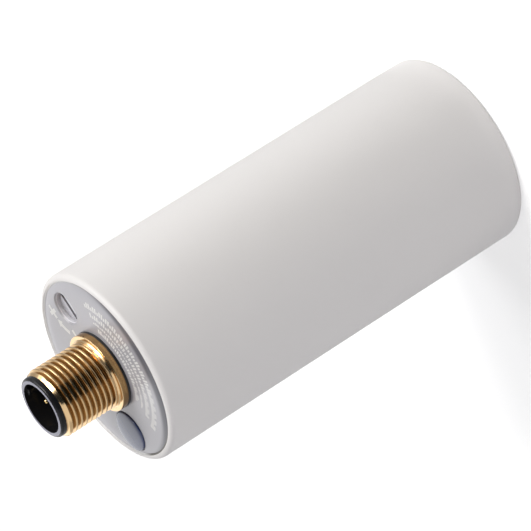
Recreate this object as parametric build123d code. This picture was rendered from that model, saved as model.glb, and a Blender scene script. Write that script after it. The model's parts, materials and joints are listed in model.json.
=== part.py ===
from build123d import *
import os
from math import cos, radians, sin, sqrt

os.makedirs("parts", exist_ok=True)

# Capacitive proximity sensor: a smooth plastic barrel with a plug connector at its back.
# The Z axis is the barrel's axis, the sensing face lies at Z = 0 and the connector points along +Z.
# The adjusting screw stands on the X axis. All sizes are in millimetres and angles in degrees.

# Housing
barrel_diameter = 34.0
barrel_length = 74.4
barrel_wall = 2.0
mouth_wall = 1.0
sensing_face_thickness = 2.0
sensing_face_rounding = 0.9
rim_land = 0.1

# End cap
cap_seat_depth = 4.2
cap_stands_proud = 0.1
cap_clearance = 0.1
cap_edge_rounding = 1.2
cap_seal_thickness = 1.24
cap_seal_height = 1.5
cap_groove_clearance = 0.18

# Connector shell
thread_diameter = 12.0
thread_length = 10.1
thread_chamfer = 0.5
flange_overhang = 0.9
flange_thickness = 1.2
gasket_thickness = 0.4
gasket_overhang = 0.05
neck_step = 0.5
neck_wall = 1.3
neck_tail = 0.5
shell_wall = 1.05
nut_wall = 1.5
nut_thickness = 2.5

# Connector insert
socket_depth = 9.0
insert_wall = 0.5
insert_base_thickness = 3.0
insert_tail_length = 6.0
insert_rim_overhang = 0.5
insert_rim_height = 1.0
insert_seal_thickness = 0.8
insert_groove_clearance = 0.1
coding_rib_width = 1.2
coding_rib_height = 0.7
coding_rib_setback = 0.5
coding_rib_angle = 31.5

# Contact pins
pin_count = 4
pin_diameter = 1.0
pin_wall_gap = 1.2
pin_setback = 2.1
pin_tip_rounding = 0.4

# Status window, which fills the cap's width between the connector's gasket and the housing's mouth
window_angle = 155.6
window_rim_margin = 0.8
window_gasket_margin = 1.05
window_stands_proud = 0.45
window_disc_thickness = 1.25
window_edge_rounding = 0.25
window_gasket_thickness = 0.3
window_shoulder = 1.2
light_pipe_length = 6.5

# Adjusting screw
screw_head_diameter = 4.9
screw_head_thickness = 1.4
screw_head_setback = 0.8
screw_recess_clearance = 0.25
screw_head_rounding = 0.2
screw_slot_width = 0.8
screw_slot_depth = 0.75
screw_neck_diameter = 2.5
screw_spindle_diameter = 2.0
screw_spindle_engagement = 5.0
screw_seal_thickness = 0.8

# Circuit board and contact board
board_thickness = 1.6
board_edge_clearance = 0.22
contact_board_diameter = 13.0
contact_board_thickness = 1.0
contact_board_gap = 0.4

# Trimmer, which stands as near the barrel's wall as its clearance lets it
trimmer_width = 5.6
trimmer_depth = 4.8
trimmer_height = 8.5
trimmer_wall_clearance = 0.6
trimmer_stands_over = 0.8
trimmer_lead_diameter = 0.6
trimmer_lead_pitch = 1.27
trimmer_lead_length = 2.4
trimmer_lead_height = 1.6

# Status lights, which share the light pipe's width
light_spacing = 0.4
light_height = 2.6
light_lens_setback = 0.2
light_lens_height = 1.4
light_lens_rounding_share = 0.8
light_gap = 0.5

# Chips, power parts and other components of the circuit board
chip_width = 4.0
chip_height = 1.5
chip_lead_pitch = 1.27
oscillator_leads_each_side = 4
control_leads_each_side = 7
power_part_width = 3.6
power_part_length = 6.5
power_part_height = 1.6
power_part_lead_pitch = 4.0
diode_width = 2.6
diode_length = 4.3
diode_height = 2.2
buffer_capacitor_width = 4.3
buffer_capacitor_length = 7.3
buffer_capacitor_height = 2.8
body_chamfer = 0.22
lead_width = 0.4
lead_thickness = 0.2
foot_length = 1.0
body_standoff = 0.1
small_capacitor_width = 1.3
small_capacitor_length = 2.0
small_capacitor_height = 1.2
small_capacitor_pitch = 3.2
small_resistor_width = 1.6
small_resistor_length = 0.8
small_resistor_height = 0.5
small_resistor_pitch = 2.4
small_parts_in_row = 5

# Places of the components: shares of the board's width from its middle and of its free height
oscillator_place = (-0.2, 0.2)
control_place = (0.17, 0.45)
transistor_place = (-0.25, 0.75)
regulator_place = (0.2, 0.8)
diode_place = (-0.25, 0.9)
buffer_capacitor_place = (0.0, 0.45)
capacitor_row_place = (0.0, 0.95)
resistor_row_place = (0.33, 0.2)

# Electrodes, laid out from the barrel's bore inwards
foil_thickness = 0.3
guard_edge_gap = 1.8
guard_width = 2.5
guard_gap = 1.2
carrier_thickness = 1.6
feed_pin_diameter = 0.8
feed_pin_length = 7.0
can_wall = 0.4
can_height = 16.0

# Clearances of pieces that fit in each other
running_clearance = 0.08
sliding_clearance = 0.05
moulded_clearance = 0.02
seal_clearance = 0.03
inner_clearance = 0.2

# Heights along the axis, from the sensing face to the connector's tip
barrel_radius = barrel_diameter / 2
bore_radius = barrel_radius - barrel_wall
mouth_radius = barrel_radius - mouth_wall
cap_bottom = barrel_length - cap_seat_depth
cap_top = barrel_length + cap_stands_proud
flange_bottom = cap_top + gasket_thickness
flange_top = flange_bottom + flange_thickness
shell_top = flange_top + thread_length
rim_top = shell_top + insert_rim_height
socket_floor = rim_top - socket_depth
insert_base_bottom = socket_floor - insert_base_thickness
nut_bottom = cap_bottom - nut_thickness
neck_bottom = nut_bottom - neck_tail
contact_board_top = neck_bottom - contact_board_gap
board_top = contact_board_top - contact_board_thickness
carrier_bottom = sensing_face_thickness + foil_thickness
board_bottom = carrier_bottom + carrier_thickness

# The board stands behind the axis, so that the trimmer on its front has its screw on the X axis
board_front = -trimmer_depth / 2
board_back = board_front - board_thickness
board_middle = (board_front + board_back) / 2
can_radius = bore_radius - inner_clearance
board_reach = can_radius - can_wall - board_edge_clearance
board_width = 2 * sqrt(board_reach**2 - board_back**2)
trimmer_reach = bore_radius - trimmer_wall_clearance
screw_offset = sqrt(trimmer_reach**2 - board_front**2) - trimmer_width / 2

# Radii of the connector, each one step in or out from the thread
thread_radius = thread_diameter / 2
flange_radius = thread_radius + flange_overhang
gasket_radius = flange_radius + gasket_overhang
neck_radius = thread_radius - neck_step
neck_bore_radius = neck_radius - neck_wall
nut_flat_radius = neck_radius + nut_wall
shell_bore_radius = thread_radius - shell_wall
insert_radius = shell_bore_radius - sliding_clearance
insert_rim_radius = insert_radius + insert_rim_overhang
socket_radius = insert_radius - insert_wall
pin_radius = pin_diameter / 2
pin_circle_radius = socket_radius - pin_wall_gap - pin_radius

# Status window and its light pipe
window_outer_reach = mouth_radius - window_rim_margin
window_inner_reach = gasket_radius + window_gasket_margin
window_offset = (window_outer_reach + window_inner_reach) / 2
window_radius = (window_outer_reach - window_inner_reach) / 2
light_pipe_radius = window_radius - window_shoulder

nodes = {}


def disc(radius, bottom, top):
    """Solid round disc on the axis."""
    return Pos(0, 0, bottom) * extrude(Circle(radius), top - bottom)


def ring(outer_radius, inner_radius, bottom, top):
    """Flat ring or tube on the axis."""
    return Pos(0, 0, bottom) * extrude(Circle(outer_radius) - Circle(inner_radius), top - bottom)


def seal_ring(inner_radius, outer_radius, height):
    """Round rubber ring that fills the space between two radii, less its clearance."""
    section_radius = (outer_radius - inner_radius) / 2 - seal_clearance
    return Pos(0, 0, height) * Torus((outer_radius + inner_radius) / 2, section_radius)


def circle_edges(part, radius, height):
    """Round edges of a part that have the given radius and lie at the given height."""
    tolerance = 0.001
    edges = part.edges().filter_by(GeomType.CIRCLE)
    edges = edges.filter_by(lambda edge: abs(edge.radius - radius) < tolerance)
    return edges.filter_by(lambda edge: abs(edge.arc_center.Z - height) < tolerance)


def around_axis(radius, angle, height=0.0):
    """Place at a radius and an angle round the sensor's axis."""
    return Pos(radius * cos(radians(angle)), radius * sin(radians(angle)), height)


# Housing: barrel and sensing face moulded as one cup, with a wider seat for the cap at its mouth
housing = disc(barrel_radius, 0, barrel_length)
housing -= disc(bore_radius, sensing_face_thickness, barrel_length)
housing -= disc(mouth_radius, cap_bottom, barrel_length)
housing = fillet(circle_edges(housing, barrel_radius, 0), sensing_face_rounding)
housing = fillet(circle_edges(housing, barrel_radius, barrel_length), mouth_wall - rim_land)
nodes["housing"] = housing

# End cap: a thick grey disc that rests on the housing's ledge and carries everything at the back
cap_radius = mouth_radius - cap_clearance
cap_groove_radius = mouth_radius - cap_seal_thickness - 2 * seal_clearance
cap_seal_middle = cap_bottom + cap_seal_height
screw_head_top = cap_top - screw_head_setback
screw_head_bottom = screw_head_top - screw_head_thickness
screw_seal_radius = screw_neck_diameter / 2 + screw_seal_thickness + 2 * seal_clearance
screw_seal_depth = screw_seal_thickness + 2 * seal_clearance
window_disc_bottom = cap_top + window_stands_proud - window_disc_thickness
window_seat = window_disc_bottom - window_gasket_thickness
window_place = around_axis(window_offset, window_angle)
screw_place = Pos(screw_offset, 0, 0)

end_cap = disc(cap_radius, cap_bottom, cap_top)
end_cap = fillet(circle_edges(end_cap, cap_radius, cap_top), cap_edge_rounding)
cap_groove_half = cap_seal_thickness / 2 + cap_groove_clearance
end_cap -= ring(barrel_radius, cap_groove_radius, cap_seal_middle - cap_groove_half, cap_seal_middle + cap_groove_half)
end_cap -= disc(neck_radius + sliding_clearance, cap_bottom, cap_top)
end_cap -= window_place * disc(window_radius + cap_clearance, window_seat, cap_top)
end_cap -= window_place * disc(light_pipe_radius + cap_clearance, cap_bottom, cap_top)
end_cap -= screw_place * disc(screw_head_diameter / 2 + screw_recess_clearance, screw_head_bottom, cap_top)
end_cap -= screw_place * disc(screw_seal_radius, screw_head_bottom - screw_seal_depth, cap_top)
end_cap -= screw_place * disc(screw_neck_diameter / 2 + running_clearance, cap_bottom, cap_top)
nodes["end_cap"] = end_cap

# Cap seal: rubber ring in the cap's groove, against the wall of the housing's mouth
nodes["cap_seal"] = seal_ring(cap_groove_radius, mouth_radius, cap_seal_middle)

# Connector shell: turned brass, with its flange on the cap and its neck through the cap's middle hole
shell_shoulder = insert_base_bottom - sliding_clearance
connector_shell = disc(flange_radius, flange_bottom, flange_top)
connector_shell += disc(thread_radius, flange_top, shell_top)
connector_shell += disc(neck_radius, neck_bottom, flange_bottom)
connector_shell = chamfer(circle_edges(connector_shell, thread_radius, shell_top), thread_chamfer)
connector_shell -= disc(shell_bore_radius, shell_shoulder, shell_top)
connector_shell -= disc(neck_bore_radius, neck_bottom, shell_top)
nodes["connector_shell"] = connector_shell

# Connector gasket: flat rubber ring between the flange and the cap
nodes["connector_gasket"] = ring(gasket_radius, neck_radius + sliding_clearance, cap_top, flange_bottom)

# Connector nut: hexagon nut that pulls the flange down from inside the cap, with a flat towards the screw
nut_outline = RegularPolygon(nut_flat_radius, 6, major_radius=False, rotation=30)
nut_section = nut_outline - Circle(neck_radius + sliding_clearance)
nodes["connector_nut"] = Pos(0, 0, nut_bottom) * extrude(nut_section, nut_thickness)

# Connector insert: black plastic socket whose rim covers the shell's end, with its coding rib inside
insert_tail_bottom = insert_base_bottom - insert_tail_length
insert_seal_inner = shell_bore_radius - insert_seal_thickness - 2 * seal_clearance
insert_seal_middle = insert_base_bottom + insert_base_thickness / 2
insert_groove_half = insert_seal_thickness / 2 + insert_groove_clearance
rib_top = rim_top - coding_rib_setback
connector_insert = disc(insert_radius, insert_base_bottom, shell_top)
connector_insert += disc(insert_rim_radius, shell_top, rim_top)
connector_insert += disc(neck_bore_radius - sliding_clearance, insert_tail_bottom, insert_base_bottom)
connector_insert -= disc(socket_radius, socket_floor, rim_top)
connector_insert -= ring(
    barrel_radius,
    insert_seal_inner,
    insert_seal_middle - insert_groove_half,
    insert_seal_middle + insert_groove_half,
)
rib_outer = socket_radius + insert_wall / 2
rib_inner = socket_radius - coding_rib_height
rib = Box(rib_outer - rib_inner, coding_rib_width, rib_top - socket_floor)
rib = Rot(0, 0, coding_rib_angle) * Pos((rib_outer + rib_inner) / 2, 0, (rib_top + socket_floor) / 2) * rib
connector_insert += rib

pin_angles = [coding_rib_angle + (i + 0.5) * 360 / pin_count for i in range(pin_count)]
pin_places = [around_axis(pin_circle_radius, angle) for angle in pin_angles]
pin_top = rim_top - pin_setback
for place in pin_places:
    connector_insert -= place * disc(pin_radius + moulded_clearance, insert_tail_bottom, socket_floor)
nodes["connector_insert"] = connector_insert

# Insert seal: rubber ring in the insert's groove, against the shell's bore
nodes["insert_seal"] = seal_ring(insert_seal_inner, shell_bore_radius, insert_seal_middle)

# Contact pins: four gold-plated pins with rounded tips, from the socket down to the contact board
for number, place in enumerate(pin_places, start=1):
    contact_pin = disc(pin_radius, board_top, pin_top)
    contact_pin = fillet(circle_edges(contact_pin, pin_radius, pin_top), pin_tip_rounding)
    nodes[f"contact_pin_{number}"] = place * contact_pin

# Contact board: small round board that takes the pins and stands on the circuit board's top edge
contact_board = disc(contact_board_diameter / 2, board_top, contact_board_top)
for place in pin_places:
    contact_board -= place * disc(pin_radius + sliding_clearance, board_top, contact_board_top)
nodes["contact_board"] = contact_board

# Status window: smoky disc seated in the cap, with a light pipe down to the status lights
window_top = cap_top + window_stands_proud
light_pipe_bottom = window_disc_bottom - light_pipe_length
status_window = disc(window_radius, window_disc_bottom, window_top)
status_window = fillet(circle_edges(status_window, window_radius, window_top), window_edge_rounding)
status_window += disc(light_pipe_radius, light_pipe_bottom, window_disc_bottom)
nodes["status_window"] = window_place * status_window

# Window gasket: thin rubber ring under the window's disc
window_gasket = ring(window_radius, light_pipe_radius + cap_clearance, window_seat, window_disc_bottom)
nodes["window_gasket"] = window_place * window_gasket

# Adjusting screw: slotted brass head in the cap's recess, on a spindle that drives the trimmer
trimmer_top = board_top + trimmer_stands_over
spindle_bottom = trimmer_top - screw_spindle_engagement
adjusting_screw = disc(screw_head_diameter / 2, screw_head_bottom, screw_head_top)
adjusting_screw = fillet(
    circle_edges(adjusting_screw, screw_head_diameter / 2, screw_head_top), screw_head_rounding
)
adjusting_screw += disc(screw_neck_diameter / 2, cap_bottom, screw_head_bottom)
adjusting_screw += disc(screw_spindle_diameter / 2, spindle_bottom, cap_bottom)
slot = Box(screw_head_diameter, screw_slot_width, screw_slot_depth)
adjusting_screw -= Pos(0, 0, screw_head_top - screw_slot_depth / 2) * slot
nodes["adjusting_screw"] = screw_place * adjusting_screw

# Screw seal: rubber ring round the screw's neck, under its head
screw_seal = seal_ring(screw_neck_diameter / 2, screw_seal_radius, screw_head_bottom - screw_seal_depth / 2)
nodes["screw_seal"] = screw_place * screw_seal

# Circuit board: stands along the barrel, with holes for the trimmer's leads
board_height = board_top - board_bottom
circuit_board = Pos(0, board_middle, (board_top + board_bottom) / 2) * Box(board_width, board_thickness, board_height)
trimmer_bottom = trimmer_top - trimmer_height
lead_height = trimmer_bottom + trimmer_lead_height
lead_places = [
    Pos(screw_offset + side * trimmer_lead_pitch, board_front, lead_height) * Rot(90, 0, 0) for side in (-1, 0, 1)
]
for place in lead_places:
    circuit_board -= place * disc(trimmer_lead_diameter / 2 + sliding_clearance, 0, board_thickness)
nodes["circuit_board"] = circuit_board

# Trimmer: sealed potentiometer on the board's front, bored for the screw's spindle
trimmer = Pos(0, 0, (trimmer_top + trimmer_bottom) / 2) * Box(trimmer_width, trimmer_depth, trimmer_height)
trimmer -= disc(screw_spindle_diameter / 2 + running_clearance, spindle_bottom - inner_clearance, trimmer_top)
trimmer = screw_place * trimmer
for place in lead_places:
    trimmer += place * disc(trimmer_lead_diameter / 2, 0, trimmer_lead_length)
nodes["trimmer"] = trimmer

# Status lights: two lamps side by side under the light pipe, on feet that reach back to the board
light_width = light_pipe_radius - light_spacing / 2
light_pitch = light_width + light_spacing
light_lens_radius = light_width / 2 - light_lens_setback
light_lens_top = light_pipe_bottom - light_gap
light_top = light_lens_top - light_lens_height
light_x = window_offset * cos(radians(window_angle))
light_y = window_offset * sin(radians(window_angle))
light_front = light_y + light_width / 2


def status_light(x):
    """Side-mounted lamp: a block seated on the board's front, with a domed lens that points up."""
    depth = light_front - board_front
    body = Pos(x, (light_front + board_front) / 2, light_top - light_height / 2)
    body = body * Box(light_width, depth, light_height)
    lens = disc(light_lens_radius, light_top, light_lens_top)
    lens_edge = circle_edges(lens, light_lens_radius, light_lens_top)
    lens = fillet(lens_edge, light_lens_rounding_share * light_lens_radius)
    return body + Pos(x, light_y, 0) * lens


nodes["light_green"] = status_light(light_x - light_pitch / 2)
nodes["light_yellow"] = status_light(light_x + light_pitch / 2)


# Chips and power parts, at heights shared out along the board between the can and the trimmer
can_top = board_bottom + can_height
free_height = trimmer_bottom - can_top


def on_front(place):
    """Place on the board's front, with the component's height along +Y."""
    return Pos(place[0] * board_width, board_front, can_top + place[1] * free_height) * Rot(-90, 0, 0)


def on_back(place):
    """Place on the board's back, with the component's height along -Y."""
    return Pos(place[0] * board_width, board_back, can_top + place[1] * free_height) * Rot(90, 0, 0)


def leaded_part(width, length, height, leads_each_side, lead_pitch):
    """Moulded part with a row of bent leads down each long side, seated at Z = 0."""
    body = Pos(0, 0, body_standoff + height / 2) * Box(width, length, height)
    body = chamfer(body.edges().group_by(Axis.Z)[-1], body_chamfer)
    for side in (-1, 1):
        for i in range(leads_each_side):
            y = (i - (leads_each_side - 1) / 2) * lead_pitch
            foot_middle = side * (width + foot_length) / 2
            foot = Pos(foot_middle, y, lead_thickness / 2) * Box(foot_length, lead_width, lead_thickness)
            shank_middle = side * (width + lead_thickness) / 2
            shank = Pos(shank_middle, y, height / 4) * Box(lead_thickness, lead_width, height / 2)
            body += foot + shank
    return body


def chip(leads_each_side):
    """Moulded chip as long as its row of leads."""
    return leaded_part(chip_width, leads_each_side * chip_lead_pitch, chip_height, leads_each_side, chip_lead_pitch)


def power_part():
    """Moulded power part with two leads on each side."""
    return leaded_part(power_part_width, power_part_length, power_part_height, 2, power_part_lead_pitch)


def block(width, length, height):
    """Plain moulded or ceramic component, seated at Z = 0."""
    return Pos(0, 0, height / 2) * Box(width, length, height)


nodes["oscillator_chip"] = on_front(oscillator_place) * chip(oscillator_leads_each_side)
nodes["control_chip"] = on_front(control_place) * chip(control_leads_each_side)
nodes["output_transistor"] = on_front(transistor_place) * power_part()
nodes["voltage_regulator"] = on_back(regulator_place) * power_part()
nodes["protection_diode"] = on_back(diode_place) * block(diode_width, diode_length, diode_height)
buffer_capacitor = block(buffer_capacitor_width, buffer_capacitor_length, buffer_capacitor_height)
nodes["buffer_capacitor"] = on_back(buffer_capacitor_place) * buffer_capacitor

# Small capacitors in one row across the board's front, and resistors in two rows down its back
small_capacitor = block(small_capacitor_width, small_capacitor_length, small_capacitor_height)
small_resistor = block(small_resistor_width, small_resistor_length, small_resistor_height)
row_steps = [i - (small_parts_in_row - 1) / 2 for i in range(small_parts_in_row)]
capacitor_row = on_front(capacitor_row_place)
small_capacitors = [Pos(step * small_capacitor_pitch, 0, 0) * capacitor_row * small_capacitor for step in row_steps]
nodes["small_capacitors"] = Compound(children=small_capacitors)
small_resistors = []
for side in (-1, 1):
    row = on_back((side * resistor_row_place[0], resistor_row_place[1]))
    for i in range(small_parts_in_row):
        small_resistors.append(Pos(0, 0, i * small_resistor_pitch) * row * small_resistor)
nodes["small_resistors"] = Compound(children=small_resistors)

# Sensing electrode and guard ring: thin foils pressed against the inside of the sensing face
foil_top = sensing_face_thickness + foil_thickness
guard_outer_radius = bore_radius - guard_edge_gap
guard_inner_radius = guard_outer_radius - guard_width
electrode_radius = guard_inner_radius - guard_gap
nodes["sensing_electrode"] = disc(electrode_radius, sensing_face_thickness, foil_top)
nodes["guard_ring"] = ring(guard_outer_radius, guard_inner_radius, sensing_face_thickness, foil_top)

# Electrode carrier: round board that holds the foils down, with holes for their two feed pins
feed_pin_y = board_front + feed_pin_diameter / 2 + moulded_clearance
guard_pin_x = (guard_outer_radius + guard_inner_radius) / 2
feed_places = {"electrode_pin": Pos(0, feed_pin_y, 0), "guard_pin": Pos(guard_pin_x, feed_pin_y, 0)}
electrode_carrier = disc(can_radius, carrier_bottom, board_bottom)
for name, place in feed_places.items():
    electrode_carrier -= place * disc(feed_pin_diameter / 2 + moulded_clearance, carrier_bottom, board_bottom)
    nodes[name] = place * disc(feed_pin_diameter / 2, carrier_bottom, carrier_bottom + feed_pin_length)
nodes["electrode_carrier"] = electrode_carrier

# Screening can: thin metal tube round the electronics behind the electrodes
nodes["screening_can"] = ring(can_radius, can_radius - can_wall, board_bottom, can_top)

for name, part in nodes.items():
    part.label = name
    export_step(part, f"parts/{name}.step")
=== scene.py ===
import json
import math

import bmesh
import bpy
from mathutils import Matrix, Vector


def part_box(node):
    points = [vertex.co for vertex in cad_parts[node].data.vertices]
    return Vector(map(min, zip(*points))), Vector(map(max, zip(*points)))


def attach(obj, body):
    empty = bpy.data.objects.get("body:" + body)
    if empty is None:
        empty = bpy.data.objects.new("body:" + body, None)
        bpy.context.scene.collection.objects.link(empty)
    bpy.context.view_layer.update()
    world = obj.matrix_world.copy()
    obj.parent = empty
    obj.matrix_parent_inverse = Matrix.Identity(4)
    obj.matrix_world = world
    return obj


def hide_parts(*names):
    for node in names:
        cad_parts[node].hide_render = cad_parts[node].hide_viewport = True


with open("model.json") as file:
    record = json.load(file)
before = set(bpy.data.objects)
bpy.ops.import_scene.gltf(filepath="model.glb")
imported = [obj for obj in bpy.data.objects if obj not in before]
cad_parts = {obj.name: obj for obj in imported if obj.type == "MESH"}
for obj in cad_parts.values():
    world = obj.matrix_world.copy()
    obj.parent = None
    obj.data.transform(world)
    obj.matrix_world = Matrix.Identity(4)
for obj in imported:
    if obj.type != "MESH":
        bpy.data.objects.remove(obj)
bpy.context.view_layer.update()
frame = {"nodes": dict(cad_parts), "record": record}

# Housing
# The barrel and its closed sensing face are one moulded cup of white plastic, smooth and satin.
# Its mouth has a thin rounded wall, and the end cap rests on a ledge inside it.
MM = 0.001
TURN = 2 * math.pi
barrel_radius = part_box("housing")[1][0]
barrel_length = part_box("housing")[1][2]
cap_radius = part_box("end_cap")[1][0]
cap_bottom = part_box("end_cap")[0][2]
cap_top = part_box("end_cap")[1][2]
mouth_gap = 0.1 * MM
mouth_radius = cap_radius + mouth_gap
mouth_chamfer = 0.03 * MM
bore_radius = 15.0 * MM
face_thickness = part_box("sensing_electrode")[0][2]
face_rounding = 0.9 * MM
rim_rounding = 0.9 * MM
fine_turns = 256
weld_distance = 1e-7
white_plastic = (0.807, 0.789, 0.78)


class Wire:
    """One output of a material's nodes. Arithmetic adds Math nodes, and node() adds any other node."""

    def __init__(self, tree, socket=None):
        self.tree = tree
        self.socket = socket

    def node(self, kind, settings=None, inputs=None, output=0):
        """Adds a node, with its settings first and then the values or links of its sockets."""
        node = self.tree.nodes.new(kind)
        for name, value in (settings or {}).items():
            if name == "stops":
                while len(node.color_ramp.elements) < len(value):
                    node.color_ramp.elements.new(1.0)
                for element, (position, shade) in zip(node.color_ramp.elements, value):
                    element.position = position
                    element.color = (shade, shade, shade, 1.0)
            else:
                setattr(node, name, value)
        for name, value in (inputs or {}).items():
            if isinstance(value, Wire):
                self.tree.links.new(value.socket, node.inputs[name])
            else:
                node.inputs[name].default_value = value
        return Wire(self.tree, node.outputs[output])

    def math(self, operation, *values):
        return self.node("ShaderNodeMath", {"operation": operation}, dict(enumerate(values)))

    def __add__(self, other):
        return self.math("ADD", self, other)

    def __radd__(self, other):
        return self.math("ADD", other, self)

    def __sub__(self, other):
        return self.math("SUBTRACT", self, other)

    def __rsub__(self, other):
        return self.math("SUBTRACT", other, self)

    def __mul__(self, other):
        return self.math("MULTIPLY", self, other)

    def __rmul__(self, other):
        return self.math("MULTIPLY", other, self)

    def __truediv__(self, other):
        return self.math("DIVIDE", self, other)

    def noise(self, scale, detail=2.0, stretch=(1.0, 1.0, 1.0)):
        """Soft irregular grain, with a scale in waves per metre."""
        spot = self.node("ShaderNodeTexCoord", output="Object")
        spot = self.node("ShaderNodeVectorMath", {"operation": "MULTIPLY"}, {0: spot, 1: stretch})
        return self.node("ShaderNodeTexNoise", inputs={"Vector": spot, "Scale": scale, "Detail": detail})

    def blend(self, factor, first, second, way="MIX"):
        """Mixes two colours. Sockets 6 and 7 and output 2 are the Mix node's colours."""
        first, second = [c if isinstance(c, Wire) else (*c, 1.0) for c in (first, second)]
        settings = {"data_type": "RGBA", "blend_type": way}
        return self.node("ShaderNodeMix", settings, {"Factor": factor, 6: first, 7: second}, output=2)

    def clamp(self):
        """Holds a value between 0 and 1."""
        return self.math("MINIMUM", self.math("MAXIMUM", self, 0.0), 1.0)

    def place(self, axis):
        """A point's place along the X, Y or Z axis, in metres."""
        spot = self.node("ShaderNodeTexCoord", output="Object")
        return self.node("ShaderNodeSeparateXYZ", inputs={"Vector": spot}, output=axis)

    def from_axis(self, x=0.0, y=0.0):
        """A point's distance from the upright line through a place."""
        across, along = self.place("X") - x, self.place("Y") - y
        return self.math("SQRT", across * across + along * along)

    def towards(self, azimuth):
        """A point's distance from the sensor's axis in the direction of an azimuth."""
        return math.cos(azimuth) * self.place("X") + math.sin(azimuth) * self.place("Y")


class Finish:
    """A named material: constants go straight on the surface shader, and links come from wires."""

    def __init__(self, name, **constants):
        self.material = bpy.data.materials.new(name)
        self.material.use_nodes = True
        self.surface = self.material.node_tree.nodes["Principled BSDF"]
        self.wire = Wire(self.material.node_tree)
        for socket, value in constants.items():
            self.surface.inputs[socket.replace("_", " ")].default_value = value

    def link(self, socket, wire):
        self.material.node_tree.links.new(wire.socket, self.surface.inputs[socket])

    def bump(self, height, distance):
        """Raises the surface by a height between 0 and 1, times a distance in metres."""
        sockets = {"Height": height, "Distance": distance}
        self.link("Normal", self.wire.node("ShaderNodeBump", inputs=sockets))


def tinted(colour, factor):
    """A lighter or darker shade of a colour."""
    return tuple(channel * factor for channel in colour)


def arc(centre, radius, start, end, steps=8):
    """Points of a round edge in a profile, from one angle to another, in degrees."""
    angles = [math.radians(start + (end - start) * i / steps) for i in range(steps + 1)]
    return [(centre[0] + radius * math.cos(a), centre[1] + radius * math.sin(a)) for a in angles]


def spun_mesh(builder, profile, turns):
    """Revolves a profile of (radius, height) points about the Z axis and returns its rings of vertices."""
    angles = [TURN * i / turns for i in range(turns)]
    rings = []
    for radius, height in profile:
        ring = [(radius * math.cos(a), radius * math.sin(a), height) for a in angles]
        if radius == 0.0:
            ring = [(0.0, 0.0, height)]
        rings.append([builder.verts.new(corner) for corner in ring])
    return rings


def skin(builder, rings, turns, closed):
    """Joins rings of vertices with faces, and the last to the first where the profile is closed."""
    pairs = list(zip(rings, rings[1:]))
    if closed:
        pairs.append((rings[-1], rings[0]))
    for low, high in pairs:
        for i in range(turns):
            k = (i + 1) % turns
            corners = [low[i % len(low)], low[k % len(low)], high[k % len(high)], high[i % len(high)]]
            corners = list(dict.fromkeys(corners))
            if len(corners) > 2:
                builder.faces.new(corners)


def smooth(mesh, sharp_angle=35.0):
    """Shades a mesh smooth apart from its sharp edges, in degrees."""
    for polygon in mesh.polygons:
        polygon.use_smooth = True
    mesh.set_sharp_from_angle(angle=math.radians(sharp_angle))


def placed(name, data):
    """Adds an object with its data to the scene."""
    thing = bpy.data.objects.new(name, data)
    bpy.context.scene.collection.objects.link(thing)
    return thing


def finished(builder, name, material, sharp_angle=35.0):
    """Turns a mesh under construction into an object with its material."""
    bmesh.ops.remove_doubles(builder, verts=builder.verts, dist=weld_distance)
    bmesh.ops.recalc_face_normals(builder, faces=builder.faces)
    mesh = bpy.data.meshes.new(name)
    builder.to_mesh(mesh)
    builder.free()
    smooth(mesh, sharp_angle)
    mesh.materials.append(material)
    return placed(name, mesh)


def lathe(name, profile, material, turns=fine_turns, closed=True, place=(0.0, 0.0, 0.0)):
    """A round piece turned about the sensor's axis and moved to its place."""
    builder = bmesh.new()
    skin(builder, spun_mesh(builder, profile, turns), turns, closed)
    piece = finished(builder, name, material)
    piece.data.transform(Matrix.Translation(place))
    return piece


def fit(piece, body, slot, *nodes):
    """Lets a piece ride on a body and hides the CAD nodes it stands for; its slot is not used."""
    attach(piece, body)
    if nodes:
        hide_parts(*nodes)


white = Finish("white_plastic")
mottle = white.wire.noise(55.0, detail=3.0)
grain = white.wire.noise(9000.0)
white.link("Base Color", white.wire.blend(mottle, white_plastic, tinted(white_plastic, 0.975)))
white.link("Roughness", 0.38 + 0.08 * mottle + 0.03 * grain)
white.bump(grain + 2.0 * white.wire.noise(1400.0), 0.004 * MM)

face_edge = (barrel_radius - face_rounding, face_rounding)
rim_edge = (barrel_radius - rim_rounding, barrel_length - rim_rounding)
housing_profile = [(0.0, 0.0)]
housing_profile += arc(face_edge, face_rounding, -90, 0)
housing_profile += arc(rim_edge, rim_rounding, 0, 90, 10)
housing_profile += [
    (mouth_radius + mouth_chamfer, barrel_length),
    (mouth_radius, barrel_length - mouth_chamfer),
    (mouth_radius, cap_bottom),
    (bore_radius, cap_bottom),
    (bore_radius, face_thickness),
    (0.0, face_thickness),
]
housing = lathe("barrel", housing_profile, white.material)
fit(housing, "sensor", "white_plastic", "housing")

# Electrodes and boards
# Copper foils lie on green glass-fibre boards, with gold-plated feed pins and a nickel-plated screening can.
# The boards stand inside the barrel, and the small parts are soldered to them.


def board_finish():
    """Green glass-fibre laminate under a glossy solder mask, with its weave showing."""
    board = Finish("board_laminate", Roughness=0.3, Coat_Weight=0.3)
    upright, level = (1.0, 1.0, 0.2), (0.2, 0.2, 1.0)
    weave = board.wire.noise(900.0, stretch=upright) * board.wire.noise(900.0, stretch=level)
    board.link("Base Color", board.wire.blend(weave * 2.0, (0.02, 0.13, 0.05), (0.04, 0.2, 0.09)))
    board.bump(weave, 0.02 * MM)
    return board.material


def metal_finish(name, colour, roughness):
    """Bright metal with fine drawing or turning marks round the axis."""
    metal = Finish(name, Metallic=1.0)
    marks = metal.wire.noise(1500.0, detail=3.0, stretch=(0.15, 0.15, 4.0))
    metal.link("Base Color", metal.wire.blend(marks, colour, tinted(colour, 0.85)))
    metal.link("Roughness", roughness * 0.7 + roughness * 0.6 * marks)
    metal.bump(marks, 0.003 * MM)
    return metal.material


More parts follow.
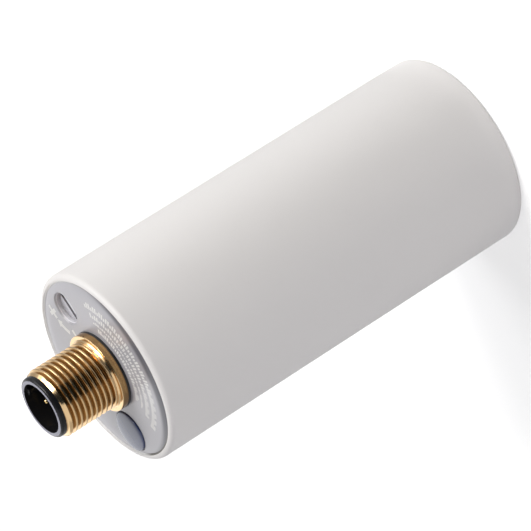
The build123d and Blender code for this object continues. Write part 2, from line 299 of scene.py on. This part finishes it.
def moulded_finish(name, colour, roughness=0.45, speckle=0.8):
    """Moulded or ceramic component body with a fine speckled grain."""
    body = Finish(name)
    speck = body.wire.noise(5000.0)
    body.link("Base Color", body.wire.blend(speck, colour, tinted(colour, speckle)))
    body.link("Roughness", roughness - 0.05 + 0.1 * speck)
    body.bump(speck, 0.004 * MM)
    return body.material


inner_finishes = {
    "board_laminate": board_finish(),
    "copper_foil": metal_finish("copper_foil", (0.75, 0.40, 0.26), 0.3),
    "nickel_steel": metal_finish("nickel_steel", (0.62, 0.61, 0.59), 0.28),
    "black_plastic": moulded_finish("chip_black", (0.022, 0.022, 0.024)),
    "tan_ceramic": moulded_finish("tan_ceramic", (0.55, 0.38, 0.20), 0.4),
    "blue_plastic": moulded_finish("blue_plastic", (0.03, 0.10, 0.38), 0.3),
    "green_lens": moulded_finish("green_lens", (0.20, 0.62, 0.22), 0.12, 0.95),
    "yellow_lens": moulded_finish("yellow_lens", (0.85, 0.62, 0.10), 0.12, 0.95),
    "seal_rubber": moulded_finish("seal_rubber", (0.012, 0.012, 0.013), 0.4),
    "gold_plated_brass": metal_finish("gold_wire", (0.85, 0.62, 0.28), 0.2),
}
pin_nodes = [f"contact_pin_{number}" for number in range(1, 5)]
outer_nodes = {
    "housing", "end_cap", "status_window", "adjusting_screw",
    "connector_shell", "connector_insert", "connector_gasket", *pin_nodes,
}
for entry in frame["record"]["subparts"]:
    if entry["node"] not in outer_nodes:
        inner = frame["nodes"][entry["node"]]
        inner.data.materials.clear()
        inner.data.materials.append(inner_finishes[entry["material_slot"]])

# End cap
# A thick disc moulded in light grey plastic with a satin grain, bonded into the barrel's mouth.
# It has a rounded edge, a seat for the status window and a recess for the adjusting screw.
# A groove round its side holds the ring that seals it.
cap_gap = 0.03 * MM
edge_width = 2.6 * MM
edge_drop = 0.66 * MM
edge_start = 20
groove_depth = 1.3 * MM
groove_room = 0.18 * MM
groove_lead = 0.2 * MM
cap_grey = (0.415, 0.41, 0.445)
# Painted shade: the cap's rounded edge is painted dark on the side turned away from the light. The band is
# widest towards one azimuth and fades in over a short distance.
painted_shade_colour = (0.12, 0.12, 0.14)
# Painted light: the inside of the screw's recess is painted much lighter than the cap, to lift the shade that
# falls in it.
painted_recess_light_colour = (0.78, 0.77, 0.81)
painted_shade_reach = 2.3 * MM
painted_shade_fade = 1.1 * MM
painted_shade_azimuth = math.radians(-113)


def round_node(node):
    """The place of a round upright node's axis, its radius, and the levels of its bottom and top."""
    low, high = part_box(node)
    place = Vector(((low[0] + high[0]) / 2, (low[1] + high[1]) / 2, 0.0))
    return place, (high[0] - low[0]) / 2, low[2], high[2]


window_place, window_radius, window_bottom, window_top = round_node("status_window")
window_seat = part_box("window_gasket")[0][2]
window_lip = 0.05 * MM
light_pipe_radius = 2.4 * MM
seat_gap = 0.1 * MM
screw_place, screw_radius, screw_bottom, screw_top = round_node("adjusting_screw")
screw_head_thickness = 1.4 * MM
screw_neck_radius = 1.25 * MM
screw_neck_gap = 0.08 * MM
recess_radius = screw_radius + 0.25 * MM
recess_floor = screw_top - screw_head_thickness
recess_lip = 0.3 * MM
painted_recess_light_radius = recess_radius + 0.05 * MM
running_gap = 0.03 * MM
neck_radius = 5.5 * MM
neck_hole_radius = neck_radius + 0.05 * MM

cap = Finish("grey_plastic", Specular_IOR_Level=0.7)
fine = cap.wire.noise(7000.0)
cloud = cap.wire.noise(160.0)
out = cap.wire.from_axis()
# Painted shade on the cap's edge, on the side turned away from the light.
lean = cap.wire.towards(painted_shade_azimuth) / out
painted_shade_start = mouth_radius - painted_shade_reach * cap.wire.math("MAXIMUM", lean, 0.0)
painted_shade = ((out - painted_shade_start) / painted_shade_fade).clamp()
painted_shade = painted_shade * painted_shade * (3.0 - 2.0 * painted_shade)
bare = cap.wire.blend(0.6 * cloud + 0.4 * fine, cap_grey, tinted(cap_grey, 0.95))
# Painted light inside the screw's recess.
painted_recess_light = cap.wire.math("LESS_THAN", cap.wire.from_axis(screw_place.x, screw_place.y), painted_recess_light_radius)
bare = cap.wire.blend(painted_recess_light, bare, painted_recess_light_colour)
cap.link("Base Color", cap.wire.blend(painted_shade, bare, painted_shade_colour))
cap.link("Roughness", 0.26 + 0.08 * fine)
cap.bump(fine, 0.006 * MM)


def combine(target, tools, operation="DIFFERENCE"):
    """Cuts tools out of a piece, or joins them to it, and clears slivers from the mesh that results."""
    for tool in tools:
        modifier = target.modifiers.new("tool", "BOOLEAN")
        modifier.operation = operation
        modifier.solver = "EXACT"
        modifier.object = tool
    result = bpy.data.meshes.new_from_object(target.evaluated_get(bpy.context.evaluated_depsgraph_get()))
    builder = bmesh.new()
    builder.from_mesh(result)
    bmesh.ops.remove_doubles(builder, verts=builder.verts, dist=weld_distance)
    bmesh.ops.dissolve_degenerate(builder, edges=builder.edges, dist=weld_distance)
    builder.to_mesh(result)
    builder.free()
    target.modifiers.clear()
    target.data = result
    result.name = target.name
    smooth(result)
    for tool in tools:
        bpy.data.objects.remove(tool)


def hole(place, radius, bottom, top, lip=0.0):
    """A round cutter at a place, which widens by a small lip where it meets the face above."""
    over = 0.5 * MM
    profile = [
        (0.0, bottom),
        (radius, bottom),
        (radius, top - lip),
        (radius + lip + over, top + over),
        (0.0, top + over),
    ]
    cutter = lathe("cutter", profile, cap.material, turns=96, closed=False)
    cutter.location = place
    return cutter


groove_radius = mouth_radius - groove_depth
groove_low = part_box("cap_seal")[0][2] - groove_room
groove_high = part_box("cap_seal")[1][2] + groove_room
cap_profile = [
    (neck_hole_radius, cap_bottom),
    (cap_radius, cap_bottom),
    (cap_radius, groove_low),
    (groove_radius, groove_low),
    (groove_radius, groove_high),
    (cap_radius, groove_high),
    (mouth_radius - cap_gap, groove_high + groove_lead),
]
edge_middle = mouth_radius - cap_gap - edge_width * math.cos(math.radians(edge_start))
for radius, rise in arc((0.0, 0.0), 1.0, edge_start, 90, 14):
    cap_profile.append((edge_middle + edge_width * radius, cap_top - edge_drop * (1 - rise)))
cap_profile += [(neck_hole_radius, cap_top)]
end_cap = lathe("cap", cap_profile, cap.material)
below = cap_bottom - MM
overlap = 0.1 * MM
combine(end_cap, [
    hole(window_place, window_radius + seat_gap, window_seat, cap_top, window_lip),
    hole(window_place, light_pipe_radius + seat_gap, below, window_seat + overlap),
    hole(screw_place, recess_radius, recess_floor - running_gap, cap_top, recess_lip),
    hole(screw_place, screw_neck_radius + screw_neck_gap, below, recess_floor + overlap),
])
fit(end_cap, "sensor", "grey_plastic", "end_cap")

# Bonding bead
# A thin bead of bonding resin fills the seam between the cap and the barrel's mouth.
# It is pale for most of the way round and is painted dark on one side as painted shade, where the cap's edge
# beside it is painted dark too.
bead_width = 0.3 * MM
bead_top = cap_top - 0.17 * MM
bead_foot = cap_top - 0.5 * MM
bead_slope = [(0.0, 0.0), (0.4, 0.02), (0.8, 0.08), (1.0, 0.16)]
pale_resin = (0.74, 0.735, 0.73)
bead = Finish("bonding_resin", Roughness=0.35)
lean = bead.wire.towards(painted_shade_azimuth) / mouth_radius
# Painted shade: the bead is painted dark on the side turned away from the light.
bead_painted_shade = (6.0 * lean - 0.2).clamp()
resin_in_painted_shade = bead.wire.blend(bead.wire.noise(3000.0), (0.055, 0.048, 0.03), (0.035, 0.03, 0.02))
bead.link("Base Color", bead.wire.blend(bead_painted_shade, pale_resin, resin_in_painted_shade))
bead_outside = mouth_radius - 0.005 * MM
bead_profile = [(bead_outside, bead_foot)]
for share, fall in bead_slope:
    bead_profile.append((bead_outside - share * bead_width, bead_top - fall * MM))
bead_profile.append((bead_outside - bead_width, bead_foot))
bonding_bead = lathe("bonding_bead", bead_profile, bead.material)
fit(bonding_bead, "sensor", "grey_plastic")

# Printed marks
# Plain fine ticks in four arcs on the cap, and a turning arrow with a plus and a minus sign beside the screw.
# They are printed in pale ink on the cap's face, and the outer ones follow its rounded edge down.
ink_thickness = 0.01 * MM
ink_depth = 0.03 * MM
ink = Finish("pale_ink", Roughness=0.5)
ink.link("Base Color", ink.wire.blend(ink.wire.noise(4000.0), (0.82, 0.82, 0.81), (0.74, 0.74, 0.73)))
tick_half = 0.2 * MM
short_tick = 0.6
tick_rows = [
    # inner radius, outer radius, ticks in a full turn, first and last angle
    (8.0 * MM, 8.9 * MM, 98, -150, -50),
    (9.4 * MM, 9.9 * MM, 112, -152, -45),
    (10.5 * MM, 11.5 * MM, 120, -158, -40),
    (12.1 * MM, 13.3 * MM, 144, -163, -36),
]
arrow_radius = 5.2 * MM
arrow_half = 0.4 * MM
arrow_turn = [math.radians(a) for a in range(132, 107, -4)]
arrowhead_half = 0.9 * MM
arrowhead_turn = 0.22
sign_half = 0.34 * MM
plus_angle, minus_angle = math.radians(80), math.radians(152)
long_arm, short_arm = Vector((1.25 * MM, 0.0)), Vector((0.0, 1.1 * MM))
short_arm_start = 0.31 * short_arm
bar_piece = 0.25 * MM
marks = bmesh.new()


def stroke(*corners):
    """One printed stroke with its corners at (x, y), which follows the cap's rounded edge down."""
    over = [max(0.0, math.hypot(x, y) - edge_middle) / edge_width for x, y in corners]
    height = [cap_top + ink_thickness - edge_drop * (1 - math.sqrt(1 - share * share)) for share in over]
    marks.faces.new([marks.verts.new((x, y, z)) for (x, y), z in zip(corners, height)])


def bar(start, end, half):
    """A printed bar between two places, laid in short pieces so that it follows the cap."""
    start, along = Vector(start), Vector(end) - Vector(start)
    side = half * Vector((-along.y, along.x)).normalized()
    pieces = max(1, round(along.length / bar_piece))
    for i in range(pieces):
        low, high = start + along * i / pieces, start + along * (i + 1) / pieces
        stroke(low - side, high - side, high + side, low + side)


def polar(centre, radius, angle):
    """A place at a distance and an angle from a centre."""
    return centre[0] + radius * math.cos(angle), centre[1] + radius * math.sin(angle)


def arc_stroke(centre, inner, outer, start, end):
    """A printed stroke between two radii and two angles about a centre."""
    stroke(
        polar(centre, inner, start),
        polar(centre, outer, start),
        polar(centre, outer, end),
        polar(centre, inner, end),
    )


for inner, outer, count, first, final in tick_rows:
    half = tick_half / outer
    for number in range(count):
        angle = math.radians(360 * number / count - 180)
        if math.radians(first) <= angle <= math.radians(final):
            reach = outer if number % 3 else inner + short_tick * (outer - inner)
            arc_stroke((0.0, 0.0), inner, reach, angle - half, angle + half)
for start, end in zip(arrow_turn, arrow_turn[1:]):
    arc_stroke(screw_place, arrow_radius - arrow_half, arrow_radius + arrow_half, start, end)
tip = arrow_turn[-1]
stroke(
    polar(screw_place, arrow_radius - arrowhead_half, tip),
    polar(screw_place, arrow_radius + arrowhead_half, tip),
    polar(screw_place, arrow_radius, tip - arrowhead_turn),
)
plus_place = Vector(polar(screw_place, arrow_radius, plus_angle))
minus_place = Vector(polar(screw_place, arrow_radius, minus_angle))
bar(plus_place - long_arm, plus_place + long_arm, sign_half)
bar(plus_place + short_arm_start, plus_place + short_arm, sign_half)
bar(plus_place - short_arm, plus_place - short_arm_start, sign_half)
bar(minus_place - long_arm, minus_place + long_arm, sign_half)
bmesh.ops.remove_doubles(marks, verts=marks.verts, dist=weld_distance)
sunk = bmesh.ops.extrude_face_region(marks, geom=marks.faces[:], use_keep_orig=True)
sunk_corners = [part for part in sunk["geom"] if isinstance(part, bmesh.types.BMVert)]
bmesh.ops.translate(marks, vec=(0.0, 0.0, -ink_depth), verts=sunk_corners)
printed_marks = finished(marks, "printed_marks", ink.material)
fit(printed_marks, "sensor", "white_plastic")

# Status window
# A disc of smoky translucent plastic, polished, with a rounded edge. It is pressed into its seat in the cap.
# It stands a little proud and passes on the light of the two lamps below it.
window_rounding = 0.25 * MM
window_crown = 0.2 * MM
smoky_grey = (0.036, 0.05, 0.13)
disc_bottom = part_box("window_gasket")[1][2]
smoky = Finish("smoky_plastic", Specular_IOR_Level=0.55, Coat_Weight=0.2, Coat_Roughness=0.05)
haze = smoky.wire.noise(300.0)
smoky.link("Base Color", smoky.wire.blend(haze, smoky_grey, tinted(smoky_grey, 1.15)))
smoky.link("Roughness", 0.12 + 0.08 * haze)
window_profile = [
    (0.0, window_bottom),
    (light_pipe_radius, window_bottom),
    (light_pipe_radius, disc_bottom),
    (window_radius, disc_bottom),
]
window_edge = (window_radius - window_rounding, window_top - window_crown - window_rounding)
window_profile += arc(window_edge, window_rounding, 0, 80, 6)
for share in (0.8, 0.6, 0.4, 0.2, 0.0):
    window_profile.append((share * window_radius, window_top - window_crown * share * share))
status_window = lathe("window", window_profile, smoky.material, turns=128, closed=False, place=window_place)
fit(status_window, "sensor", "smoky_plastic", "status_window")

# Adjusting screw
# A turned brass screw with dull nickel plating. A screwdriver in its slot sets how near the sensor switches.
# Its head lies at the bottom of the cap's recess and its spindle turns in the trimmer.
slot_width = 0.8 * MM
slot_depth = 0.75 * MM
head_rounding = 0.2 * MM
spindle_radius = 1.0 * MM
nickel = metal_finish("nickel_brass", (0.63, 0.62, 0.65), 0.45)


def block(size, centre, material, turn=0.0):
    """A rectangular tool at its place, turned about the sensor's axis."""
    builder = bmesh.new()
    bmesh.ops.create_cube(builder, size=1.0)
    bmesh.ops.scale(builder, vec=size, verts=builder.verts)
    bmesh.ops.translate(builder, vec=centre, verts=builder.verts)
    bmesh.ops.rotate(builder, matrix=Matrix.Rotation(turn, 3, "Z"), verts=builder.verts)
    return finished(builder, "block", material)


screw_profile = [
    (0.0, screw_bottom),
    (spindle_radius, screw_bottom),
    (spindle_radius, cap_bottom),
    (screw_neck_radius, cap_bottom),
    (screw_neck_radius, recess_floor),
    (screw_radius, recess_floor),
]
head_edge = (screw_radius - head_rounding, screw_top - head_rounding)
screw_profile += arc(head_edge, head_rounding, 0, 90, 6)
screw_profile += [(0.0, screw_top)]
screw = lathe("slotted_screw", screw_profile, nickel, turns=96, closed=False)
slot_size = (3 * screw_radius, slot_width, 2 * slot_depth)
combine(screw, [block(slot_size, (0.0, 0.0, screw_top), nickel)])
screw.data.transform(Matrix.Translation(screw_place))
fit(screw, "screw", "nickel_brass", "adjusting_screw")

# Connector gasket
# A flat ring of black rubber, cut from sheet.
# The shell's flange squeezes it against the cap, so its outer edge bulges a little.
gasket_low, gasket_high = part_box("connector_gasket")
gasket_radius = gasket_high[0]
gasket_bulge = 0.08 * MM
gasket_middle = (gasket_low[2] + gasket_high[2]) / 2
gasket_profile = [
    (neck_hole_radius, gasket_low[2]),
    (gasket_radius - gasket_bulge, gasket_low[2]),
    (gasket_radius, gasket_middle),
    (gasket_radius - gasket_bulge, gasket_high[2]),
    (neck_hole_radius, gasket_high[2]),
]
gasket = lathe("gasket", gasket_profile, inner_finishes["seal_rubber"], turns=160)
fit(gasket, "sensor", "seal_rubber", "connector_gasket")

# Connector shell
# Turned brass with bright gold plating: a flange, a fine outside thread with a chamfered lead, and a plain bore.
# The thread is one helix of sixty-degree turns that runs out towards the flange.
shell_low, shell_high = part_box("connector_shell")
shell_top = shell_high[2]
flange_radius = shell_high[0]
flange_bottom = gasket_high[2]
flange_thickness = 1.2 * MM
flange_top = flange_bottom + flange_thickness
flange_rounding = 0.12 * MM
thread_radius = 6.0 * MM
thread_pitch = 1.0 * MM
thread_depth = 0.65 * MM
thread_start = flange_top + 0.38 * MM
thread_runout = 0.45 * MM
lead_radius = 5.35 * MM
lead_length = 0.75 * MM
thread_form = [(0.0, 0.0), (0.05, 0.02), (0.10, 0.08), (0.35, 0.90), (0.39, 0.98), (0.5, 1.0)]
flange_cone = 0.24 * MM
steps_per_turn = 20
thread_turns = 224
shell_bore = 4.95 * MM
neck_bore = 4.2 * MM
insert_tail_length = 6.0 * MM
shoulder_gap = 0.05 * MM
shell_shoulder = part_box("connector_insert")[0][2] + insert_tail_length - shoulder_gap
gold_colour = (0.84, 0.585, 0.32)
painted_root_shade_colour = (0.42, 0.25, 0.10)

gold = Finish("gold_plating", Metallic=1.0)
turning = gold.wire.noise(1800.0, detail=4.0, stretch=(0.12, 0.12, 6.0))
patches = gold.wire.noise(700.0, detail=3.0)
height = gold.wire.place("Z")
# Painted shade: the plating is darkened towards the thread's roots and down the flange's side, where shade and
# dark reflections fall.
depth = ((thread_radius - gold.wire.from_axis()) / thread_depth).clamp()
depth = depth * gold.wire.math("LESS_THAN", height, shell_top - lead_length)
flange_side = gold.wire.math("LESS_THAN", height, flange_top - flange_rounding)
depth = gold.wire.math("MAXIMUM", depth, 0.85 * flange_side)
plating = gold.wire.blend(patches, gold_colour, tinted(gold_colour, 0.88))
gold.link("Base Color", gold.wire.blend(depth, plating, painted_root_shade_colour))
gold.link("Roughness", 0.08 + 0.08 * turning + 0.04 * patches)
gold.bump(turning, 0.006 * MM)


def thread_reach(share, height):
    """Radius of the thread at a share of its profile's turn and at a height."""
    share = 0.5 - abs(share % 1.0 - 0.5)
    for (start, low), (end, high) in zip(thread_form, thread_form[1:]):
        if start <= share <= end:
            level = low + (high - low) * (share - start) / (end - start)
    depth = thread_depth * (1 - level)
    fade = min(1.0, max(0.0, (height - thread_start) / thread_runout))
    lead = lead_radius + (shell_top - height) / lead_length * (thread_radius - lead_radius)
    return max(lead_radius, min(thread_radius - depth * fade, lead))


def thread_rings(builder):
    """Rows of vertices that follow the helix, held between the thread's two ends."""
    rows = math.ceil((shell_top - thread_start) / thread_pitch + 2) * steps_per_turn
    rings = []
    for row in range(rows + 1):
        ring = []
        for i in range(thread_turns):
            height = thread_start - thread_pitch + thread_pitch * (row / steps_per_turn + i / thread_turns)
            height = min(shell_top, max(thread_start, height))
            radius = thread_reach(row / steps_per_turn, height)
            if height <= thread_start:
                radius = thread_radius
            if height >= shell_top:
                radius = lead_radius
            angle = TURN * i / thread_turns
            ring.append(builder.verts.new((radius * math.cos(angle), radius * math.sin(angle), height)))
        rings.append(ring)
    return rings


builder = bmesh.new()
rings = thread_rings(builder)
last = len(rings) - 1
# The end of each row meets the start of the row that lies one turn higher
for row in range(last):
    for i in range(thread_turns):
        k = (i + 1) % thread_turns
        shift = steps_per_turn if k == 0 else 0
        low_next = rings[min(last, row + shift)][k]
        high_next = rings[min(last, row + 1 + shift)][k]
        corners = list(dict.fromkeys([rings[row][i], low_next, high_next, rings[row + 1][i]]))
        if len(corners) > 2:
            builder.faces.new(corners)
low_edge = (flange_radius - flange_rounding, flange_bottom + flange_rounding)
high_edge = (flange_radius - flange_rounding, flange_top - flange_rounding)
shell_profile = [
    (lead_radius, shell_top),
    (shell_bore, shell_top),
    (shell_bore, shell_shoulder),
    (neck_bore, shell_shoulder),
    (neck_bore, shell_low[2]),
    (neck_radius, shell_low[2]),
    (neck_radius, flange_bottom),
]
shell_profile += arc(low_edge, flange_rounding, -90, 0, 4)
shell_profile += arc(high_edge, flange_rounding, 0, 90, 4)
shell_profile += [
    (thread_radius + flange_cone, flange_top),
    (thread_radius, flange_top + flange_cone),
    (thread_radius, thread_start),
]
skin(builder, spun_mesh(builder, shell_profile, thread_turns), thread_turns, closed=False)
bmesh.ops.remove_doubles(builder, verts=builder.verts, dist=weld_distance)
bmesh.ops.dissolve_degenerate(builder, edges=builder.edges, dist=weld_distance)
shell = finished(builder, "threaded_shell", gold.material, sharp_angle=28.0)
fit(shell, "sensor", "gold_plated_brass", "connector_shell")

# Connector insert
# A socket moulded in black plastic and pressed into the shell, whose end its rim covers.
# A rib inside it codes the plug, and a pale painted reflection lies on the flat top of its rim.
insert_low, insert_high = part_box("connector_insert")
rim_top = insert_high[2]
rim_radius = insert_high[0]
rim_slope = 0.6 * MM
rim_fall = 0.5 * MM
mouth_edge = 0.1 * MM
rim_reflection_depth = 0.03 * MM
socket_radius = 4.4 * MM
socket_floor = rim_top - 9.0 * MM
insert_radius = 4.9 * MM
tail_radius = 4.15 * MM
insert_base = shell_shoulder + shoulder_gap
rib_angle = math.radians(31.5)
rib_width = 1.2 * MM
rib_height = 0.7 * MM
rib_setback = 0.5 * MM
rib_root = 0.25 * MM
rim_reflection_colour = (0.34, 0.34, 0.42)
black = Finish("black_plastic", Specular_IOR_Level=0.25)
dust = black.wire.noise(6000.0)
# Painted reflection: the flat top of the rim is painted a pale lavender grey, with a grainy strength.
painted_rim_reflection = black.wire.math("GREATER_THAN", black.wire.place("Z"), rim_top - rim_reflection_depth) * (0.6 + 0.4 * dust)
plain_black = black.wire.blend(dust, (0.008, 0.008, 0.009), (0.013, 0.013, 0.014))
black.link("Base Color", black.wire.blend(painted_rim_reflection, plain_black, rim_reflection_colour))
black.link("Roughness", 0.2 + 0.1 * dust)
black.bump(dust, 0.004 * MM)
insert_profile = [
    (0.0, insert_low[2]),
    (tail_radius, insert_low[2]),
    (tail_radius, insert_base),
    (insert_radius, insert_base),
    (insert_radius, shell_top),
    (rim_radius, shell_top),
]
for radius, rise in arc((0.0, 0.0), 1.0, 0, 90, 8):
    insert_profile.append((rim_radius - rim_slope * (1 - radius), rim_top - rim_fall * (1 - rise)))
insert_profile += arc((socket_radius + mouth_edge, rim_top - mouth_edge), mouth_edge, 90, 180, 8)
insert_profile += [(socket_radius, socket_floor), (0.0, socket_floor)]
insert = lathe("socket_insert", insert_profile, black.material, turns=192, closed=False)
rib_top = rim_top - rib_setback
rib_size = (rib_height + rib_root, rib_width, rib_top - socket_floor + rib_root)
rib_middle = socket_radius + (rib_root - rib_height) / 2
rib_centre = (rib_middle, 0.0, (rib_top + socket_floor - rib_root) / 2)
combine(insert, [block(rib_size, rib_centre, black.material, rib_angle)], "UNION")
fit(insert, "sensor", "black_plastic", "connector_insert")

# Contact pins
# Four turned brass pins with gold plating and rounded tips.
# They are moulded into the insert and go through it to the contact board.
tip_rounding = 0.4 * MM
pin_finish = inner_finishes["gold_plated_brass"]
for number, node in enumerate(pin_nodes, 1):
    pin_place, pin_radius, pin_bottom, pin_top = round_node(node)
    pin_profile = [(0.0, pin_bottom), (pin_radius, pin_bottom)]
    pin_profile += arc((pin_radius - tip_rounding, pin_top - tip_rounding), tip_rounding, 0, 90, 6)
    pin_profile += [(0.0, pin_top)]
    pin = lathe(f"gold_pin_{number}", pin_profile, pin_finish, turns=32, closed=False, place=pin_place)
    fit(pin, "sensor", "gold_plated_brass", node)

# Floor
# A round table top covered with white paper, on which the sensor stands and throws its shadow.
# It glows a little where it is seen, which lightens it and adds no light to the sensor.
floor_radius = 3.0
floor_drop = 0.02 * MM
floor_glow = 0.42


def show(shader, output):
    """Makes a shader the one that its tree's output shows."""
    shader.tree.links.new(shader.socket, shader.tree.nodes[output].inputs["Surface"])


def seen(wire):
    """1 where a thing is seen, also in polished or through clear surfaces, and 0 for the light it throws."""
    camera, glossy, clear = [
        wire.node("ShaderNodeLightPath", output=kind)
        for kind in ("Is Camera Ray", "Is Glossy Ray", "Is Transmission Ray")
    ]
    return wire.math("MINIMUM", camera + glossy + clear, 1.0)


paper = Finish("white_paper", Base_Color=(0.88, 0.88, 0.88, 1.0), Roughness=0.9)
glow_colour = paper.wire.blend(seen(paper.wire), (0.0, 0.0, 0.0), (floor_glow, floor_glow, floor_glow))
glow = paper.wire.node("ShaderNodeEmission", inputs={"Color": glow_colour})
paper_shader = Wire(paper.wire.tree, paper.surface.outputs[0])
show(paper.wire.node("ShaderNodeAddShader", inputs={0: paper_shader, 1: glow}), "Material Output")
builder = bmesh.new()
bmesh.ops.create_circle(builder, cap_ends=True, radius=floor_radius, segments=64)
floor = finished(builder, "floor", paper.material)
floor.location.z = -floor_drop

# Drape
# A grey cloth wall and roof round the table, with a black flag on the camera's side and a hatch in the roof.
# Only polished surfaces show it, so it gives the gold plating its light and dark bands.
drape_radius = 1.6
drape_height = 2.2
drape_bottom = 0.001
drape_gap = 0.02
drape_glare = 1.5
drape_levels = [
    (-180.0, 0.36), (-134.0, 0.36), (-124.0, 0.03), (-64.0, 0.03), (-54.0, 0.28), (-20.0, 0.32),
    (11.0, 0.50), (40.0, 0.32), (55.0, 0.34), (70.0, 1.0), (115.0, 1.0), (130.0, 0.38),
]
table_height = 0.01
table_level = 0.62
roof_height = 1.25
roof_level = 0.9
roof_gain = 3.4
roof_cut = 0.04
hatch_radius = 0.5
hatch_place = 0.12
hatch_level = 0.02
cool_tone = (0.6, 1.0, 1.5)
cool_gain = 4.0
drape = Finish("grey_drape")
height = drape.wire.place("Z")
turned = drape.wire.math("ARCTAN2", drape.wire.place("Y"), drape.wire.place("X")) / TURN + 0.5
stops = [(0.5 + azimuth / 360.0, level) for azimuth, level in drape_levels]
wall = drape_glare * drape.wire.node("ShaderNodeValToRGB", {"stops": stops}, {"Fac": turned})
on_table = drape.wire.math("LESS_THAN", height, table_height)
in_roof = drape.wire.math("GREATER_THAN", height, roof_height)
outside_hatch = drape.wire.math("GREATER_THAN", drape.wire.from_axis(0.0, hatch_place), hatch_radius)
table = drape.wire.math("MINIMUM", wall, table_level)
roof = drape.wire.math("MINIMUM", roof_gain * (wall - roof_cut), roof_level) * (hatch_level + outside_hatch)
level = table * on_table + wall * (1 - on_table) * (1 - in_roof) + roof * in_roof
warmth = drape.wire.math("MINIMUM", cool_gain * wall, 1.0)
tone = drape.wire.blend(warmth, cool_tone, (1.0, 1.0, 1.0))
light = drape.wire.blend(1.0, tone, level, "MULTIPLY")
show(drape.wire.node("ShaderNodeEmission", inputs={"Color": light}), "Material Output")
drape_profile = [
    (drape_gap, drape_bottom),
    (drape_radius, drape_bottom),
    (drape_radius, drape_height),
    (0.0, drape_height),
]
drapery = lathe("drape", drape_profile, drape.material, turns=64, closed=False)
drapery.visible_camera = False
drapery.visible_diffuse = False
drapery.visible_shadow = False
drapery.visible_transmission = False

# World and lamps
# A white room with a little light from all round, and soft square lamps a metre from the sensor.
# Most stand on the screw's side. The low one and the two on the far side stay out of polished surfaces.
ambient = 0.2
lamp_size = 0.4
lamp_distance = 1.0
lamp_aim = Vector((0.0, 0.0, 0.045))
neutral_white = (1.0, 1.0, 1.0)
warm_white = (1.0, 0.975, 0.94)
cool_white = (0.97, 0.985, 1.0)
lamps = [
    # name, azimuth, elevation, watts, colour, whether it shows in polished surfaces
    ("key", -30, 50, 5.2, warm_white, True),
    ("side", 10, 50, 2.0, cool_white, True),
    ("rim", 10, 25, 0.6, neutral_white, True),
    ("low", 10, 3, 1.6, cool_white, False),
    ("shoulder", -150, 50, 1.8, (0.965, 0.95, 1.0), False),
    ("fill", -150, 3, 1.1, (0.95, 0.94, 1.0), False),
]

world = bpy.data.worlds.new("studio")
bpy.context.scene.world = world
world.use_nodes = True
air = Wire(world.node_tree)
dim = air.node("ShaderNodeBackground", inputs={"Color": (*neutral_white, 1.0), "Strength": ambient})
plain = air.node("ShaderNodeBackground", inputs={"Color": (*neutral_white, 1.0), "Strength": 1.0})
show(air.node("ShaderNodeMixShader", inputs={0: seen(air), 1: dim, 2: plain}), "World Output")

for name, azimuth, elevation, watts, colour, polished in lamps:
    light = bpy.data.lights.new(name, "AREA")
    light.shape = "SQUARE"
    light.size = lamp_size
    light.energy = watts
    light.color = colour
    azimuth, elevation = math.radians(azimuth), math.radians(elevation)
    x, y = polar((0.0, 0.0), math.cos(elevation), azimuth)
    holder = placed(name, light)
    holder.location = lamp_aim + lamp_distance * Vector((x, y, math.sin(elevation)))
    holder.rotation_euler = (lamp_aim - holder.location).to_track_quat("-Z", "Y").to_euler()
    holder.visible_glossy = polished

# Camera
# A long lens that looks down on the standing sensor from the photograph's side.
# It is rolled almost a quarter turn, so the sensor lies across the picture.
film_width = 36.0
focal_length = 275.18
camera_place = Vector((-15.460, -599.294, 316.907)) * MM
camera_right = Vector((-0.54256, -0.33961, -0.76831))
camera_forward = Vector((0.02378, 0.90805, -0.41818))
camera_up = camera_right.cross(camera_forward)
camera_data = bpy.data.cameras.new("camera")
camera_data.sensor_width = film_width
camera_data.lens = focal_length
camera = placed("camera", camera_data)
camera.location = camera_place
camera.rotation_euler = Matrix((camera_right, camera_up, -camera_forward)).transposed().to_euler()
bpy.context.scene.camera = camera
bpy.context.scene.view_settings.view_transform = "Standard"
